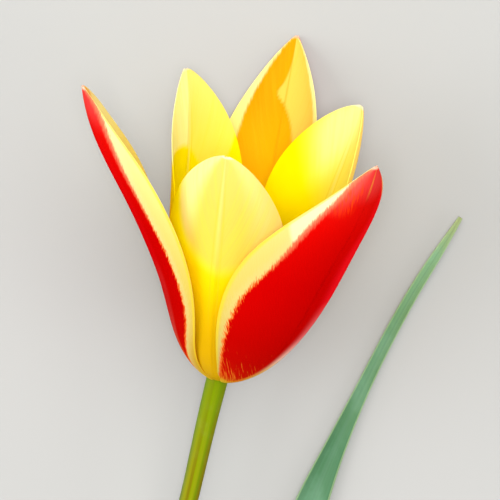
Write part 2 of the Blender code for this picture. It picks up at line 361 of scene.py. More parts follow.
def add_wrap(mesh, sides, along):
    """Store the share round a lathed piece and a number per ring as a UV map."""
    turn = np.linspace(0.0, 1.0, sides + 1)
    around = np.stack([turn[:-1], turn[1:], turn[1:], turn[:-1]], axis=-1)[None]
    upward = np.stack([along[:-1], along[:-1], along[1:], along[1:]], axis=-1)[:, None]
    wall = np.stack(np.broadcast_arrays(around, upward), axis=-1).reshape(-1, 2)
    caps = np.repeat([[0.5, along[0]], [0.5, along[-1]]], sides, axis=0)
    layer = mesh.uv_layers.new(name="Place")
    layer.data.foreach_set("uv", np.concatenate([wall, caps]).astype(np.float32).ravel())


def new_mesh(name, vertices, faces):
    """A mesh in metres of vertices in millimetres."""
    mesh = bpy.data.meshes.new(name)
    mesh.from_pydata((vertices * MM).tolist(), [], faces)
    return mesh


def shell(name, points, thickness):
    """A closed sheet on a grid: material 0 on the side it faces, 1 behind and on the rim."""
    rows, columns = points.shape[:2]
    count = rows * columns
    half = thickness[..., None] / 2 * normals(points)
    vertices = np.concatenate([(points + half).reshape(-1, 3), (points - half).reshape(-1, 3)])
    index = np.arange(count).reshape(rows, columns)
    corners = (index[:-1, :-1], index[:-1, 1:], index[1:, 1:], index[1:, :-1])
    front = np.stack(corners, axis=-1).reshape(-1, 4)
    back = front[:, ::-1] + count
    edge = np.concatenate([index[0, :-1], index[:-1, -1], index[-1, :0:-1], index[:0:-1, 0]])
    ahead = np.roll(edge, -1)
    rim = np.column_stack([ahead, edge, edge + count, ahead + count])
    mesh = new_mesh(name, vertices, np.concatenate([front, back, rim]).tolist())
    side = np.ones(len(mesh.polygons), dtype=np.int32)
    side[: len(front)] = 0
    mesh.polygons.foreach_set("material_index", side)
    return mesh


def lathe(name, rings):
    """A closed solid through rings of points; material 1 on its first cap."""
    rows, sides = rings.shape[:2]
    index = np.arange(rows * sides).reshape(rows, sides)
    after = np.roll(index, -1, axis=1)
    wall = np.stack([index[:-1], after[:-1], after[1:], index[1:]], axis=-1).reshape(-1, 4)
    faces = [*wall.tolist(), index[0, ::-1].tolist(), index[-1].tolist()]
    mesh = new_mesh(name, rings.reshape(-1, 3), faces)
    mesh.polygons[len(faces) - 2].material_index = 1
    return mesh


def add_sheet_place(mesh, name, across, along):
    """Store a pair of numbers per grid point of a sheet, for both its sides."""
    pairs = np.stack(np.broadcast_arrays(across, along), axis=-1).reshape(-1, 2)
    add_place(mesh, name, np.concatenate([pairs, pairs]))


def make_sheet(name, points, thickness, v, u):
    """A sheet that thins towards its margins, with the shares along and across it stored."""
    full, thin = thickness
    across = thin + (full - thin) * (1 - u**SHEET_TAPER)
    mesh = shell(name, points, np.broadcast_to(across, points.shape[:2]))
    add_sheet_place(mesh, "Place", (u[None, :] + 1) / 2, v[:, None])
    return mesh


def cupped(spine, side, rise, half_width, cup, u):
    """Points of a sheet bent round its spine, by the angle cup at its margins."""
    angle = u[None, :] * cup[:, None]
    radius = (half_width / cup)[:, None]
    sideways = (radius * np.sin(angle))[..., None] * side[:, None]
    inward = (radius * (1 - np.cos(angle)))[..., None] * rise[:, None]
    return spine[:, None] + sideways + inward


def upright_rings(reach, levels):
    """Rings round the vertical, of a reach for each row and side and a level for each row."""
    turn = turns(reach.shape[1])
    level = np.broadcast_to(levels[:, None], reach.shape)
    return np.stack([reach * np.cos(turn), reach * np.sin(turn), level], axis=-1)


# Tepals ---------------------------------------------------------------------------------


def tepal_grid():
    """Shares along a tepal, crowded at its tip, and across it, crowded at its margins."""
    v = TIP_END * (1 - (1 - np.linspace(0.0, 1.0, TEPAL_ROWS + 1)) ** TIP_CROWDING)
    even = np.linspace(-1.0, 1.0, TEPAL_COLUMNS + 1)
    u = (1 - MARGIN_CROWDING) * even + MARGIN_CROWDING * np.sin(math.pi / 2 * even)
    return v, u


def midrib_frames(tepal, v):
    """Midrib points of a tepal, with its sideways and inward directions."""
    t = np.linspace(0.0, TIP_END, MIDRIB_STEPS + 1)
    lean = np.radians(smooth(t, LEAN_AT, tepal.lean))
    sway = np.radians(tepal.sway * t)[:, None]
    roll = np.radians(tepal.twist * t)[:, None]
    zero = np.zeros_like(t)
    upright = np.column_stack([np.sin(lean), zero, np.cos(lean)])
    inward = np.column_stack([-np.cos(lean), zero, np.sin(lean)])
    sideways = np.array([0.0, 1.0, 0.0])
    along = np.cos(sway) * upright + np.sin(sway) * sideways
    across = np.cos(sway) * sideways - np.sin(sway) * upright
    steps = tepal.length * TIP_END / MIDRIB_STEPS * (along[1:] + along[:-1]) / 2
    midrib = np.cumsum(np.vstack([(tepal.whorl.radius, 0.0, tepal.whorl.height), steps]), axis=0)
    side = np.cos(roll) * across + np.sin(roll) * inward
    rise = np.cos(roll) * inward - np.sin(roll) * across

    def at_rows(vectors):
        return np.column_stack([np.interp(v, t, vectors[:, axis]) for axis in range(3)])

    return at_rows(midrib), at_rows(side), at_rows(rise)


def tepal_half_width(tepal, v):
    """Half width along a tepal: its outline, widened at the foot."""
    outline = np.sin(math.pi * v ** (math.log(0.5) / math.log(tepal.whorl.widest)))
    foot = FOOT_HALF_WIDTH if tepal.whorl is OUTER else INNER_FOOT_HALF_WIDTH
    return foot * (1 - v) ** FOOT_TAPER + tepal.width / 2 * outline**tepal.whorl.fullness


def tepal_relief(tepal, u, v):
    """How far the surface stands out from the plain shape: midrib ridge and margin waves."""
    height, half_width = RIDGE
    height *= OUTER_RIDGE if tepal.whorl is OUTER else 1.0
    rise, end = RIDGE_ENDS
    ridge = height * np.exp(-((u / half_width) ** 2)) * np.minimum(1.0, rise * v) * (1 - v**end)
    height, number = RIPPLE
    outward, upward = RIPPLE_POWERS
    phase = number * v + tepal.azimuth / 90 + RIPPLE_SHIFT * np.sign(u)
    waves = height * np.abs(u) ** outward * v**upward * np.sin(2 * math.pi * phase)
    return ridge + waves


def tepal_points(tepal, v, u):
    """Middle surface of a tepal in the part's frame, with its half width at each row."""
    half_width = tepal_half_width(tepal, v)
    cup = np.radians(smooth(v, CUP_AT, tepal.cup))
    points = cupped(*midrib_frames(tepal, v), half_width, cup, u)
    if tepal.whorl is INNER:
        down, out, end = FOOT_DROP
        fade = (1 - np.minimum(v / end, 1.0)) ** 2
        points += fade[:, None, None] * (out, 0.0, -down)
    relief = tepal_relief(tepal, u[None, :], v[:, None])
    points = points + relief[..., None] * normals(points)
    return on_flower(points, tepal.azimuth), half_width


def vein_places(tepal, u, v, half_width):
    """Millimetres across and along the side veins, which fan out from the midrib."""
    aside = np.abs(u)[None, :] * half_width[:, None]
    slope = np.tan(np.radians(smooth(v, CUP_AT, VEIN_SPREAD)))
    rise = np.gradient(v) * tepal.length * slope
    across = aside - np.cumsum(rise)[:, None] + HALVES_APART * (u[None, :] > 0)
    return across, (v * tepal.length)[:, None] + tepal.azimuth


def flame_margin(name, u, v, half_width):
    """Millimetres inside the flame's edge; negative in the pale margin."""
    left, right = (smooth(v, FLAME_AT, reach) for reach in FLAMES[name])
    reach = np.where(u[None, :] < 0, left[:, None], right[:, None])
    return (reach - np.abs(u)[None, :]) * half_width[:, None]


def painted_light_zone(name, u, v):
    """Painted light on an outer tepal: a lit flank above 0 on its back, sunlit gold below 0 on its
    inside.
    """
    if name in FLANKS:
        start, share = (smooth(v, FLANK_AT, values)[:, None] for values in FLANKS[name])
        past = u[None, :] - start
        return share * step_between(past, *FLANK_SOFTNESS) * (1 - step_between(past, *FLANK_FADE))
    edge = smooth(v, LIGHT_AT, LIGHT_EDGE)[:, None]
    return -step_between(edge - u[None, :], -LIGHT_SOFTNESS, LIGHT_SOFTNESS)


def painted_shadow_zone(name, u, v):
    """1 where an inner tepal is deep yellow in painted shadow, 0 where it is pale."""
    ends, softness = PAINTED_SHADOW_ENDS[name]
    end = smooth(u, PAINTED_SHADOW_AT, ends)[None, :]
    return step_between(end - v[:, None], -softness, softness)


def pale_zone(name, u, v):
    """How far the yellow of an inner tepal pales, from 0 to 1: painted light on the front's flanks
    and the right one's top.
    """
    if name == "inner_tepal_front":
        (left, left_between), (right, right_between) = PALE_FLANKS
        return left * step_between(-u, *left_between) + right * step_between(u, *right_between)
    if name == "inner_tepal_left":
        return step_between(u, *PALE_SIDE)
    share, between = PALE_TOP
    centre, fall = PALE_TOP_LINE
    return share * step_between(v[:, None] - fall * np.abs(u[None, :] - centre), *between)


def make_tepal(name, tepal, materials):
    """One tepal, with the marks of its kind.

    The marks are the flame's margin and the painted light zone on an outer tepal, and the pale
    zone, partly painted light, and the painted shadow zone on an inner one.
    """
    v, u = tepal_grid()
    points, half_width = tepal_points(tepal, v, u)
    mesh = make_sheet(name, points, TEPAL_THICKNESS, v, u)
    add_sheet_place(mesh, "Veins", *vein_places(tepal, u, v, half_width))
    if tepal.whorl is OUTER:
        marks = flame_margin(name, u, v, half_width), painted_light_zone(name, u, v)
    else:
        marks = pale_zone(name, u, v), painted_shadow_zone(name, u, v)
    add_sheet_place(mesh, "Marks", *marks)
    link("visual_" + name, mesh, materials, name)


# Stem and leaf --------------------------------------------------------------------------


def tube_rings(points, radii, sides, ribs=(0.0, 1)):
    """Rings round a path, starting on top and turning to the right."""
    along = unit(np.gradient(points, axis=0))
    right = unit(np.cross(along, (0.0, 0.0, 1.0)))
    top = np.cross(right, along)
    turn = turns(sides)
    depth, number = ribs
    more, shift = FINE_RIBS
    fine = depth / 2 * np.cos((number + more) * turn + shift)
    lobes = 1 + depth * np.cos(number * turn) + fine
    ring = np.cos(turn)[None, :, None] * top[:, None] + np.sin(turn)[None, :, None] * right[:, None]
    return points[:, None] + ring * (radii[:, None] * lobes[None, :])[..., None]


def make_stem(materials):
    """The stem, with the receptacle that the tepals hide."""
    points = route_points(STEM_ROUTE, STEM_ROWS)
    wall = tube_rings(points, evenly(STEM_RADII, STEM_ROWS + 1), STEM_SIDES, STEM_RIBS)
    heights, radii = np.array(RECEPTACLE).T
    top = np.array(FLOWER_FOOT) + heights[:, None] * flower_matrix(0.0)[:, 2]
    rings = np.concatenate([wall, tube_rings(top, radii, STEM_SIDES)])
    mesh = lathe("stem", rings)
    spans = np.linalg.norm(np.diff(rings.mean(1), axis=0), axis=1)
    add_wrap(mesh, STEM_SIDES, np.concatenate([[0.0], np.cumsum(spans)]))
    link("visual_stem", mesh, materials, "stem")


def make_leaf(materials):
    """The leaf, a channel that follows its keel."""
    t = np.linspace(0.0, 1.0, LEAF_ROWS + 1)
    u = np.linspace(-1.0, 1.0, LEAF_COLUMNS + 1)
    keel = route_points(LEAF_KEEL, LEAF_ROWS)
    along = unit(np.gradient(keel, axis=0))
    side = unit(np.cross(along, (0.0, 0.0, 1.0)))
    half_width = smooth(t, LEAF_SHAPE_AT, LEAF_HALF_WIDTH)
    cup = np.radians(smooth(t, LEAF_SHAPE_AT, LEAF_CUP))
    points = cupped(keel, side, np.cross(side, along), half_width, cup, u)
    mesh = make_sheet("leaf", points, LEAF_THICKNESS, t, u)
    add_sheet_place(mesh, "Veins", u[None, :] * half_width.max(), t[:, None] * LEAF_LENGTH)
    link("visual_leaf", mesh, materials, "leaf")


# Pistil and stamens ---------------------------------------------------------------------


def make_pistil(material):
    """The ovary with its three-lobed stigma."""
    heights, radii, lobes = np.array(PISTIL_SECTIONS).T
    at = np.linspace(heights[0], heights[-1], PISTIL_ROWS)
    radius = smooth(at, heights, radii)[:, None]
    lobe = smooth(at, heights, lobes)[:, None]
    rings = upright_rings(radius * (1 + lobe * np.cos(PISTIL_LOBES * turns(PISTIL_SIDES))), at)
    share, depth = PISTIL_DIMPLE
    dimple = rings[-1:] * (share, share, 1.0) - (0.0, 0.0, depth)
    mesh = lathe("pistil", on_flower(np.concatenate([rings, dimple]), 0.0))
    add_wrap(mesh, PISTIL_SIDES, np.append(at, at[-1]) / heights[-1])
    link("visual_pistil", mesh, [material, material], "pistil")


def lean_out(points):
    """Tilt points of a stamen outward and set them on the filament's foot."""
    lean = math.radians(STAMEN_LEAN)
    reach, height = FILAMENT_FOOT
    return np.stack(
        [
            reach + points[..., 0] * math.cos(lean) + points[..., 2] * math.sin(lean),
            points[..., 1],
            height - points[..., 0] * math.sin(lean) + points[..., 2] * math.cos(lean),
        ],
        axis=-1,
    )


def filament_rings():
    """A slender stalk, thickest near its foot."""
    radii = np.repeat(evenly(FILAMENT_RADII, FILAMENT_ROWS)[:, None], FILAMENT_SIDES, axis=1)
    return upright_rings(radii, np.linspace(0.0, 1.0, FILAMENT_ROWS) * FILAMENT_LENGTH)


def anther_rings():
    """Two pollen sacs side by side, with a groove between them on both faces."""
    turn = turns(ANTHER_SIDES)[None, :]
    climb = np.linspace(ANTHER_END, math.pi - ANTHER_END, ANTHER_ROWS)[:, None]
    swell = np.sin(climb) ** ANTHER_BLUNTNESS
    depth, narrowness = ANTHER_GROOVE
    groove = 1 - depth * np.abs(np.cos(turn)) ** narrowness
    depth, width = ANTHER_SEAM
    seam = 1 - depth * np.exp(-((np.abs(np.sin(turn)) - 1) / width) ** 2)
    bend = ANTHER_BEND * np.sin(climb) - ANTHER_BEND
    deep = swell * ANTHER_HALF_DEPTH * groove * np.cos(turn) + bend
    wide = swell * ANTHER_HALF_WIDTH * seam * np.sin(turn)
    level = np.broadcast_to(ANTHER_LENGTH * (1 - np.cos(climb)) / 2, wide.shape)
    return np.stack([deep, wide, level], axis=-1)


def make_stamens(filament_material, anther_material):
    """Six stamens, one before each tepal."""
    filament = lean_out(filament_rings())
    anther = lean_out(anther_rings() + (0.0, 0.0, FILAMENT_LENGTH + ANTHER_GAP))
    for number, tepal in enumerate(sorted(TEPALS.values(), key=lambda one: one.azimuth), start=1):
        stalk = lathe(f"filament_{number}", on_flower(filament, tepal.azimuth))
        add_wrap(stalk, FILAMENT_SIDES, np.linspace(0.0, 1.0, FILAMENT_ROWS))
        materials = [filament_material, filament_material]
        link(f"visual_filament_{number}", stalk, materials, f"filament_{number}")
        sacs = lathe(f"anther_{number}", on_flower(anther, tepal.azimuth))
        materials = [anther_material, anther_material]
        link(f"visual_anther_{number}", sacs, materials, f"anther_{number}")


# Materials ------------------------------------------------------------------------------

# Places from 0 to 1 with their display colours: along a tepal or the leaf from foot to tip,
# round the stem from its top to the right, up the pistil and the filaments, and by the noise
# in pith and pollen.
FLAME_REDS = (
    (0.0, "c0400c"),
    (0.10, "c61604"),
    (0.2, "b60702"),
    (0.3, "b40301"),
    (0.55, "bc0101"),
    (0.78, "cc0502"),
    (1.0, "cc120c"),
)
# Painted light: the lit flank on the back of an outer tepal, with a pale pink painted highlight.
FLANK_REDS = (
    (0.06, "e0a410"),
    (0.14, "e8b85c"),
    (0.21, "f0c4b0"),
    (0.31, "ee7070"),
    (0.45, "f41420"),
    (1.0, "ee1016"),
)
MARGIN_CREAMS = (
    (0.0, "c89a18"),
    (0.2, "c8a43c"),
    (0.4, "d2bc56"),
    (0.65, "dccc74"),
    (1.0, "e0d094"),
)
INSIDE_GOLDS = (
    (0.0, "e8a808"),
    (0.4, "fccc04"),
    (0.62, "f2b002"),
    (0.8, "ec9e02"),
    (1.0, "ec9c04"),
)
INSIDE_MARGINS = (
    (0.0, "ecb818"),
    (0.3, "f8dc50"),
    (0.7, "f8e47c"),
    (0.85, "fef2a0"),
    (1.0, "fdf09a"),
)
# Round the stem, the grey band at 0.82 on its left is a painted highlight.
STEM_BANDS = (
    (0.0, "727e00"),
    (0.03, "7a8208"),
    (0.09, "627400"),
    (0.16, "6e5e04"),
    (0.24, "5c6e04"),
    (0.76, "5c6e04"),
    (0.82, "667226"),
    (0.90, "7a7a06"),
    (0.965, "6a6000"),
    (1.0, "727e00"),
)
LEAF_SHADES = (
    (0.0, "8c9a68"),
    (0.10, "6a8f62"),
    (0.30, "4c7456"),
    (0.55, "4a7450"),
    (0.70, "406c48"),
    (0.85, "5e8458"),
    (0.95, "7a9e72"),
    (1.0, "94985e"),
)
PISTIL_SHADES = (
    (0.1, "b9c05a"),
    (0.5, "9fb23c"),
    (0.84, "b5bf4a"),
    (0.90, "e6d26a"),
    (1.0, "f2e08a"),
)
FILAMENT_SHADES = ((0.0, "c99a10"), (0.3, "efc22a"), (1.0, "f6dc5a"))
PITH_SHADES = ((0.3, "8d984a"), (0.55, "b2ba7a"), (0.8, "cfd3a4"))
POLLEN_SHADES = ((0.3, "a87408"), (0.5, "d69d18"), (0.7, "f0c544"))

# Millimetres: the flame's teeth, fine streaks of the red, and zones from the stem's cut on.
BACK_TEETH = (0.24, 1.3)  # width and length
BACK_TEETH_REACH = (1.0, 2.2)  # near the foot and the tip, and between them
INSIDE_TEETH = (0.30, 4.0)
INSIDE_TEETH_REACH = 0.9
RED_STREAKS = (0.22, 2.6)
FRESH_STEM = (112.0, 132.0)  # where it turns a fresher green towards the flower
DULL_STEM = (112.0, 60.0)  # where it turns a duller green towards the cut


class Yellows(NamedTuple):
    """Colours of one side of an inner tepal; plain and deep, the yellow in painted shadow, run from
    foot to tip.
    """

    plain: tuple
    deep: tuple
    midrib: str
    beside: str


YELLOW_BACK = Yellows(
    plain=((0.0, "e5b808"), (0.25, "f2ce10"), (0.5, "f1ce46"), (0.8, "f0ca58"), (1.0, "f0cc6a")),
    deep=((0.25, "e2bc00"), (0.38, "f0ca00"), (0.46, "f8d200"), (0.54, "fcd804"), (0.62, "fef600")),
    midrib="fdf0a0",
    beside="ecc41e",
)
YELLOW_INSIDE = Yellows(
    plain=((0.0, "e5b008"), (0.4, "f8de10"), (0.7, "faec4c"), (1.0, "f8e87a")),
    deep=((0.0, "fce600"), (1.0, "fcec00")),
    midrib="fbf0a0",
    beside="e8c412",
)


def tint(code):
    """Linear colour of a six-digit display colour."""
    shares = [int(code[i : i + 2], 16) / 255 for i in (0, 2, 4)]
    return tuple(c / 12.92 if c <= 0.04045 else ((c + 0.055) / 1.055) ** 2.4 for c in shares)


class Paint:
    """A material under construction: each call adds nodes and gives an output socket."""

    def __init__(self, name):
        self.material = bpy.data.materials.new(name)
        self.material.use_nodes = True
        self.tree = self.material.node_tree
        self.tree.nodes.clear()

    def add(self, kind, inputs, **settings):
        """A new node with its settings made and its inputs fed."""
        node = self.tree.nodes.new(kind)
        for key, value in settings.items():
            setattr(node, key, value)
        for key, value in inputs.items():
            self.feed(node.inputs[key], value)
        return node

    def feed(self, socket, value):
        """Link an output to a socket, or set the socket's own value."""
        if isinstance(value, bpy.types.NodeSocket):
            self.tree.links.new(value, socket)
        elif socket.type == "RGBA":
            socket.default_value = (*value, 1.0)
        else:
            socket.default_value = value

    def calc(self, operation, first, second=0.0, third=0.0):
        """Result of an operation on up to three numbers."""
        inputs = {0: first, 1: second, 2: third}
        return self.add("ShaderNodeMath", inputs, operation=operation).outputs[0]

    def times(self, first, *others):
        """Product of two or more values."""
        for other in others:
            first = self.calc("MULTIPLY", first, other)
        return first

    def away(self, value, place):
        """Distance of a value from a place."""
        return self.calc("ABSOLUTE", self.calc("SUBTRACT", value, place))

    def waver(self, value, noise, reach):
        """A value that noise moves up and down, by half the reach at most."""
        swing = self.calc("SUBTRACT", noise, 0.5)
        return self.calc("ADD", value, self.times(swing, reach))

    def step(self, value, low, high):
        """0 below low, 1 above high, smooth between; turned round where low is the higher."""
        inputs = {"Value": value, "From Min": low, "From Max": high}
        return self.add("ShaderNodeMapRange", inputs, interpolation_type="SMOOTHSTEP").outputs[0]

    def mix(self, share, first, second):
        """The first colour with a share of the second in it."""
        inputs = {0: share, 6: first, 7: second}
        return self.add("ShaderNodeMix", inputs, data_type="RGBA").outputs[2]

    def lay(self, code, colour, share, strength=1.0):
        """A colour with a share of a display colour over it, at a strength."""
        if strength < 1.0:
            share = self.times(share, strength)
        return self.mix(share, colour, tint(code))

    def gradient(self, value, stops):
        """Colours at places from 0 to 1."""
        node = self.add("ShaderNodeValToRGB", {"Fac": value})
        elements = node.color_ramp.elements
        while len(elements) < len(stops):
            elements.new(0.5)
        for element, (place, colour) in zip(elements, stops):
            element.position = place
            element.color = (*tint(colour), 1.0)
        return node.outputs[0]

    def place(self, name="Place"):
        """Both numbers of a UV map."""
        uv = self.add("ShaderNodeUVMap", {}, uv_map=name).outputs[0]
        split = self.add("ShaderNodeSeparateXYZ", {0: uv})
        return split.outputs[0], split.outputs[1]

    def streaks(self, width, length, detail=3.0, place="Veins"):
        """Noise drawn out along a UV map, about 0.5 in the mean, in the map's own units."""
        uv = self.add("ShaderNodeUVMap", {}, uv_map=place).outputs[0]
        factors = {0: uv, 1: (1 / width, 1 / length, 1.0)}
        scaled = self.add("ShaderNodeVectorMath", factors, operation="MULTIPLY").outputs[0]
        inputs = {"Vector": scaled, "Scale": 1.0, "Detail": detail}
        return self.add("ShaderNodeTexNoise", inputs).outputs[0]

    def grain(self, size, detail=2.0):
        """Noise with no direction; its size is in millimetres."""
        where = self.add("ShaderNodeTexCoord", {}).outputs["Object"]
        inputs = {"Vector": where, "Scale": 1 / (size * MM), "Detail": detail}
        return self.add("ShaderNodeTexNoise", inputs).outputs[0]

    def bump(self, height, depth):
        """Normal of a surface whose height varies; depth in millimetres."""
        inputs = {"Height": height, "Distance": depth * MM, "Strength": 1.0}
        return self.add("ShaderNodeBump", inputs).outputs[0]

    def finish(self, shader):
        """The material, with this shader as its surface."""
        self.add("ShaderNodeOutputMaterial", {"Surface": shader})
        return self.material


def tissue(paint, colour, normal, through, roughness=0.5, gloss=0.2):
    """Plant tissue: a satin surface that lets a share of the light through."""
    skin = {"Base Color": colour, "Roughness": roughness, "Specular IOR Level": gloss}
    surface = paint.add("ShaderNodeBsdfPrincipled", {**skin, "Normal": normal}).outputs[0]
    glow = {"Color": colour, "Normal": normal}
    light = paint.add("ShaderNodeBsdfTranslucent", glow).outputs[0]
    both = {0: through, 1: surface, 2: light}
    return paint.finish(paint.add("ShaderNodeMixShader", both).outputs[0])


def off_centre(paint):
    """Distance from the midrib as a share of the half width, and the share of the length."""
    u, v = paint.place()
    return paint.away(paint.times(u, 2.0), 1.0), v


def tepal_bump(paint, depth):
    """Normal of fine lengthwise ribs and small cells."""
    ribs = paint.streaks(0.45, 9.0, detail=2.0)
    cells = paint.streaks(0.10, 0.6, detail=1.0)
    return paint.bump(paint.calc("ADD", ribs, paint.times(cells, 0.35)), depth)


def toothed(paint, size, reach):
    """Millimetres inside the flame's edge, which ends in fine teeth along the side veins."""
    inside, _ = paint.place("Marks")
    return paint.waver(inside, paint.streaks(*size, detail=2.0), reach)


def flame_red(paint, v, aside, left, fine):
    """Red of the flame: pale streaks low down, a painted lit flank, and a flecked tip under a
    painted pinkish sheen.

    Left is 1 on the left half and fine is streaky noise.
    """
    red = paint.gradient(v, FLAME_REDS)
    # Painted sheen: a pinkish patch left of the tip, and a pinkish wash over the whole tip.
    painted_sheen = paint.times(paint.step(v, 0.82, 0.92), paint.step(aside, 0.25, 0.65), left)
    red = paint.lay("dc6456", red, painted_sheen, 0.42)
    red = paint.lay("e8605c", red, paint.step(v, 0.86, 0.96), 0.28)
    flecks = paint.times(paint.step(fine, 0.44, 0.60), paint.step(aside, 0.15, 0.35))
    flecks = paint.times(flecks, paint.step(paint.away(v, 0.90), 0.08, 0.01), left)
    red = paint.lay("f44008", red, flecks, 0.75)
    # Painted light from the Marks map: the lit flank and its painted highlight.
    _, mark = paint.place("Marks")
    flank = paint.calc("MAXIMUM", mark, 0.0)
    near_foot = paint.times(paint.step(v, 0.30, 0.16), paint.step(flank, 0.02, 0.30))
    near_foot = paint.times(near_foot, paint.step(fine, 0.30, 0.60))
    red = paint.lay("d0500c", red, near_foot, 0.8)
    red = paint.mix(flank, red, lit_flank(paint, v, fine))
    red = paint.lay("d4500c", red, paint.times(paint.step(v, 0.13, 0.03), left), 0.6)
    streaks = paint.calc("MULTIPLY_ADD", v, -1.5, paint.streaks(0.30, 4.0))
    return paint.lay("ea7a20", red, paint.times(paint.step(streaks, 0.30, 0.48), left), 0.75)


def lit_flank(paint, v, fine):
    """Painted light, the flame's lit flank: golden near the foot, then a pale pink painted
    highlight, then bright red.
    """
    streaked = paint.times(paint.step(fine, 0.50, 0.62), paint.step(v, 0.20, 0.08))
    return paint.lay("cc4a10", paint.gradient(v, FLANK_REDS), streaked, 0.5)


def cream_margin(paint, u, v, aside, edge):
    """Margin round the flame: cream, paler beside the red, with a thin yellow edge.

    Its left half carries painted shade below a slanting line and a painted highlight above it.
    """
    cream = paint.gradient(v, MARGIN_CREAMS)
    cream = paint.lay("e0d2a0", cream, paint.step(edge, -2.4, -0.3), 0.35)
    # Painted shade below a slanting line on the left half, and a painted highlight above it.
    slant = paint.calc("ADD", v, paint.times(aside, -0.22))
    painted_shade_and_light = paint.mix(paint.step(slant, 0.545, 0.565), tint("b8a44c"), tint("ece4c8"))
    cream = paint.mix(paint.times(paint.step(u, 0.5, 0.4), 0.35), cream, painted_shade_and_light)
    return paint.lay("dcc410", cream, paint.step(aside, 0.94, 0.985), 0.65)


def red_back():
    """Back of an outer tepal: a red flame in a cream margin, with an orange fringe between."""
    paint = Paint("outer_back")
    u, _ = paint.place()
    aside, v = off_centre(paint)
    upper = paint.step(v, 0.50, 0.80)
    least, most = BACK_TEETH_REACH
    reach = paint.calc("MULTIPLY_ADD", paint.step(v, 0.15, 0.40), most - least, least)
    reach = paint.calc("MULTIPLY_ADD", upper, least - most, reach)
    edge = toothed(paint, BACK_TEETH, reach)
    fine = paint.streaks(*RED_STREAKS)
    red = flame_red(paint, v, aside, paint.step(u, 0.50, 0.42), fine)
    cream = cream_margin(paint, u, v, aside, edge)
    fringe = paint.mix(upper, tint("e2601c"), tint("dc7050"))
    colour = paint.mix(paint.step(edge, -0.65, -0.05), cream, fringe)
    red_from = paint.calc("MULTIPLY_ADD", upper, 0.7, 0.25)
    colour = paint.mix(paint.step(edge, -0.15, red_from), colour, red)
    colour = paint.lay("dcb028", colour, paint.step(paint.waver(v, fine, 0.10), 0.075, 0.025))
    line = paint.times(paint.step(aside, 0.06, 0.02), paint.step(v, 0.88, 0.95))
    colour = paint.lay("d88c30", colour, line, 0.6)
    colour = paint.lay("e8b498", colour, paint.step(v, 0.988, 0.996))
    return tissue(paint, colour, tepal_bump(paint, 0.05), through=0.15, gloss=0.0)


def golden_inside():
    """Inside of an outer tepal: a golden flame in a pale yellow margin, paler where sunlight is
    painted.
    """
    paint = Paint("outer_inside")
    aside, v = off_centre(paint)
    # Painted sunlight: the gold turns paler where the Marks map falls below 0.
    _, mark = paint.place("Marks")
    light = paint.calc("MAXIMUM", paint.times(mark, -1.0), 0.0)
    gold = paint.lay("fac84e", paint.gradient(v, INSIDE_GOLDS), light)
    gold = paint.lay("f8bc14", gold, paint.step(paint.streaks(0.7, 12.0), 0.45, 0.75), 0.18)
    flame = paint.step(toothed(paint, INSIDE_TEETH, INSIDE_TEETH_REACH), -0.25, 0.45)
    colour = paint.mix(flame, paint.gradient(v, INSIDE_MARGINS), gold)
    colour = paint.lay("e8b898", colour, paint.step(v, 0.988, 0.997))
    colour = paint.lay("eaa408", colour, paint.step(aside, 0.035, 0.012), 0.4)
    low_margin = paint.times(paint.step(aside, 0.86, 0.96), paint.step(v, 0.30, 0.15))
    colour = paint.lay("ea8a10", colour, low_margin, 0.7)
    return tissue(paint, colour, tepal_bump(paint, 0.05), through=0.30, gloss=0.02)


def yellow_petal(name, yellows):
    """Either side of an inner tepal: yellow, deeper low down, with painted shadow, painted light
    and a pale midrib.
    """
    paint = Paint(name)
    aside, v = off_centre(paint)
    # Marks: the pale zone, painted light on the front and right tepals, and the zone in painted
    # shadow.
    pale, deep = paint.place("Marks")
    colour = paint.lay("fefaac", paint.gradient(v, yellows.plain), pale, 0.8)
    colour = paint.lay("fde428", colour, paint.step(paint.streaks(0.8, 16.0), 0.42, 0.72), 0.18)
    # Painted shadow: deeper yellow where other tepals shade the tepal.
    colour = paint.mix(deep, colour, paint.gradient(v, yellows.deep))
    beside = paint.away(aside, 0.06)
    lines = paint.times(paint.step(beside, 0.018, 0.004), paint.step(v, 0.98, 0.80))
    colour = paint.lay(yellows.beside, colour, lines, 0.30)
    ridge = paint.times(paint.step(aside, 0.045, 0.01), paint.step(v, 0.52, 0.78))
    colour = paint.lay(yellows.midrib, colour, ridge, 0.24)
    colour = paint.lay("dcaa02", colour, paint.step(v, 0.56, 0.12), 0.85)
    # Pale tip: its small point, with a painted highlight on it.
    colour = paint.lay("f4e6b8", colour, paint.step(v, 0.990, 0.997))
    return tissue(paint, colour, tepal_bump(paint, 0.04), through=0.28, gloss=0.03)


def stem_skin():
    """Olive-green skin with shallow lengthwise ribs, a brownish groove, brownish flanks and a grey
    painted highlight on its left.
    """
    paint = Paint("stem_skin")
    turn, along = paint.place()
    streaks = paint.streaks(0.03, 16.0, place="Place")
    colour = paint.gradient(paint.waver(turn, streaks, 0.10), STEM_BANDS)
    colour = paint.lay("648000", colour, paint.step(along, *FRESH_STEM), 0.6)
    colour = paint.lay("5c6400", colour, paint.step(along, *DULL_STEM), 0.3)
    bloom = paint.grain(2.5, detail=3.0)
    colour = paint.lay("848c48", colour, paint.step(bloom, 0.5, 0.8), 0.15)
    return tissue(paint, colour, paint.bump(streaks, 0.05), through=0.05, gloss=0.04)


def stem_cut():
    """Pale juicy pith with small bundles, seen where the stem was cut."""
    paint = Paint("stem_cut")
    cells = paint.grain(0.5, detail=3.0)
    colour = paint.gradient(cells, PITH_SHADES)
    return tissue(paint, colour, paint.bump(cells, 0.08), through=0.05, roughness=0.30)


